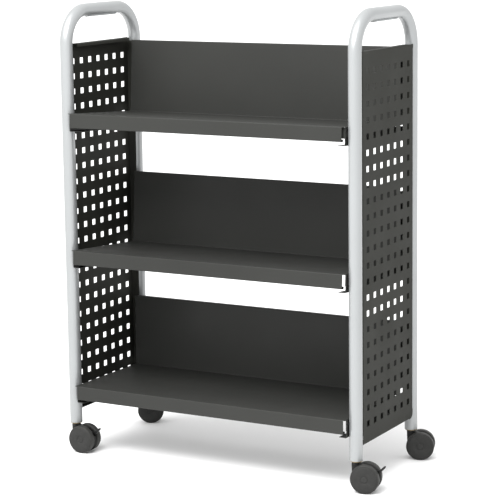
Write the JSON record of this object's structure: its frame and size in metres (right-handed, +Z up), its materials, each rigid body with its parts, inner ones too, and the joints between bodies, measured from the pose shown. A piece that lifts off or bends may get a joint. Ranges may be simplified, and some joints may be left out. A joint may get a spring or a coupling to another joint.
{
  "type": "book cart",
  "caption": "Single-sided rolling book cart with tilted shelves between perforated side panels, tube frames with push handles, and swivelling twin-wheel casters.",
  "frame": {"origin": "on the floor, at the middle of the footprint", "axes": "+X along the shelves towards the right side panel, +Y from the open front to the shelf backs, +Z up"},
  "size_m": [0.8846, 0.3922, 1.138],
  "materials": {
    "silver_paint": "light silver-grey enamel with a soft sheen",
    "charcoal_powder_coat": "fine-grained dark charcoal powder coat",
    "charcoal_sheet": "smooth dark charcoal powder coat, a little glossy",
    "grey_strip": "light grey moulded strip",
    "zinc_plated_steel": "zinc-plated steel",
    "black_plug": "black moulded plastic",
    "dark_grey_nylon": "dark grey moulded nylon, fine grain",
    "grey_wheel_nylon": "dark grey moulded nylon, satin",
    "black_lever": "black moulded nylon"
  },
  "bodies": {
    "cart": {"caster_socket_front_left": "black_plug", "caster_socket_front_right": "black_plug", "caster_socket_rear_left": "black_plug", "caster_socket_rear_right": "black_plug", "caster_stem_front_left": "zinc_plated_steel", "caster_stem_front_right": "zinc_plated_steel", "caster_stem_rear_left": "zinc_plated_steel", "caster_stem_rear_right": "zinc_plated_steel", "frame_tube_left": "silver_paint", "frame_tube_right": "silver_paint", "grip_strip_left": "grey_strip", "grip_strip_right": "grey_strip", "shelf_bottom": "charcoal_sheet", "shelf_middle": "charcoal_sheet", "shelf_screw_bottom_left_front": "zinc_plated_steel", "shelf_screw_bottom_left_rear": "zinc_plated_steel", "shelf_screw_bottom_right_front": "zinc_plated_steel", "shelf_screw_bottom_right_rear": "zinc_plated_steel", "shelf_screw_middle_left_front": "zinc_plated_steel", "shelf_screw_middle_left_rear": "zinc_plated_steel", "shelf_screw_middle_right_front": "zinc_plated_steel", "shelf_screw_middle_right_rear": "zinc_plated_steel", "shelf_screw_top_left_front": "zinc_plated_steel", "shelf_screw_top_left_rear": "zinc_plated_steel", "shelf_screw_top_right_front": "zinc_plated_steel", "shelf_screw_top_right_rear": "zinc_plated_steel", "shelf_top": "charcoal_sheet", "side_panel_left": "charcoal_powder_coat", "side_panel_right": "charcoal_powder_coat"},
    "caster_front_left": {"caster_hood_front_left": "dark_grey_nylon", "caster_axle_front_left": "zinc_plated_steel", "brake_pin_front_left": "zinc_plated_steel"},
    "near_wheel_front_left": {"near_wheel_front_left": "grey_wheel_nylon"},
    "far_wheel_front_left": {"far_wheel_front_left": "grey_wheel_nylon"},
    "brake_lever_front_left": {"brake_lever_front_left": "black_lever"},
    "caster_front_right": {"caster_hood_front_right": "dark_grey_nylon", "caster_axle_front_right": "zinc_plated_steel", "brake_pin_front_right": "zinc_plated_steel"},
    "near_wheel_front_right": {"near_wheel_front_right": "grey_wheel_nylon"},
    "far_wheel_front_right": {"far_wheel_front_right": "grey_wheel_nylon"},
    "brake_lever_front_right": {"brake_lever_front_right": "black_lever"},
    "caster_rear_left": {"caster_hood_rear_left": "dark_grey_nylon", "caster_axle_rear_left": "zinc_plated_steel"},
    "near_wheel_rear_left": {"near_wheel_rear_left": "grey_wheel_nylon"},
    "far_wheel_rear_left": {"far_wheel_rear_left": "grey_wheel_nylon"},
    "caster_rear_right": {"caster_hood_rear_right": "dark_grey_nylon", "caster_axle_rear_right": "zinc_plated_steel"},
    "near_wheel_rear_right": {"near_wheel_rear_right": "grey_wheel_nylon"},
    "far_wheel_rear_right": {"far_wheel_rear_right": "grey_wheel_nylon"}
  },
  "joints": [
    {"name": "swivel_front_left", "type": "hinge", "parent": "cart", "child": "caster_front_left", "pos_m": [-0.42292, -0.16834, 0.0725], "axis": [0, 0, 1], "continuous": true},
    {"name": "near_spin_front_left", "type": "hinge", "parent": "caster_front_left", "child": "near_wheel_front_left", "pos_m": [-0.39842, -0.16813, 0.035], "axis": [-0.0087, 1, 0], "continuous": true},
    {"name": "far_spin_front_left", "type": "hinge", "parent": "caster_front_left", "child": "far_wheel_front_left", "pos_m": [-0.39842, -0.16813, 0.035], "axis": [-0.0087, 1, 0], "continuous": true},
    {"name": "brake_front_left", "type": "hinge", "parent": "caster_front_left", "child": "brake_lever_front_left", "pos_m": [-0.37792, -0.16795, 0.0493], "axis": [-0.0087, 1, 0], "range_deg": [0, 25]},
    {"name": "swivel_front_right", "type": "hinge", "parent": "cart", "child": "caster_front_right", "pos_m": [0.37168, -0.16834, 0.0725], "axis": [0, 0, 1], "continuous": true},
    {"name": "near_spin_front_right", "type": "hinge", "parent": "caster_front_right", "child": "near_wheel_front_right", "pos_m": [0.39565, -0.16325, 0.035], "axis": [-0.2079, 0.9781, 0], "continuous": true},
    {"name": "far_spin_front_right", "type": "hinge", "parent": "caster_front_right", "child": "far_wheel_front_right", "pos_m": [0.39565, -0.16325, 0.035], "axis": [-0.2079, 0.9781, 0], "continuous": true},
    {"name": "brake_front_right", "type": "hinge", "parent": "caster_front_right", "child": "brake_lever_front_right", "pos_m": [0.4157, -0.15899, 0.0493], "axis": [-0.2079, 0.9781, 0], "range_deg": [0, 25]},
    {"name": "swivel_rear_left", "type": "hinge", "parent": "cart", "child": "caster_rear_left", "pos_m": [-0.42292, 0.14835, 0.0725], "axis": [0, 0, 1], "continuous": true},
    {"name": "near_spin_rear_left", "type": "hinge", "parent": "caster_rear_left", "child": "near_wheel_rear_left", "pos_m": [-0.40129, 0.15986, 0.035], "axis": [-0.4695, 0.8829, 0], "continuous": true},
    {"name": "far_spin_rear_left", "type": "hinge", "parent": "caster_rear_left", "child": "far_wheel_rear_left", "pos_m": [-0.40129, 0.15986, 0.035], "axis": [-0.4695, 0.8829, 0], "continuous": true},
    {"name": "swivel_rear_right", "type": "hinge", "parent": "cart", "child": "caster_rear_right", "pos_m": [0.37168, 0.14835, 0.0725], "axis": [0, 0, 1], "continuous": true},
    {"name": "near_spin_rear_right", "type": "hinge", "parent": "caster_rear_right", "child": "near_wheel_rear_right", "pos_m": [0.39485, 0.15633, 0.035], "axis": [-0.3256, 0.9455, 0], "continuous": true},
    {"name": "far_spin_rear_right", "type": "hinge", "parent": "caster_rear_right", "child": "far_wheel_rear_right", "pos_m": [0.39485, 0.15633, 0.035], "axis": [-0.3256, 0.9455, 0], "continuous": true}
  ]
}
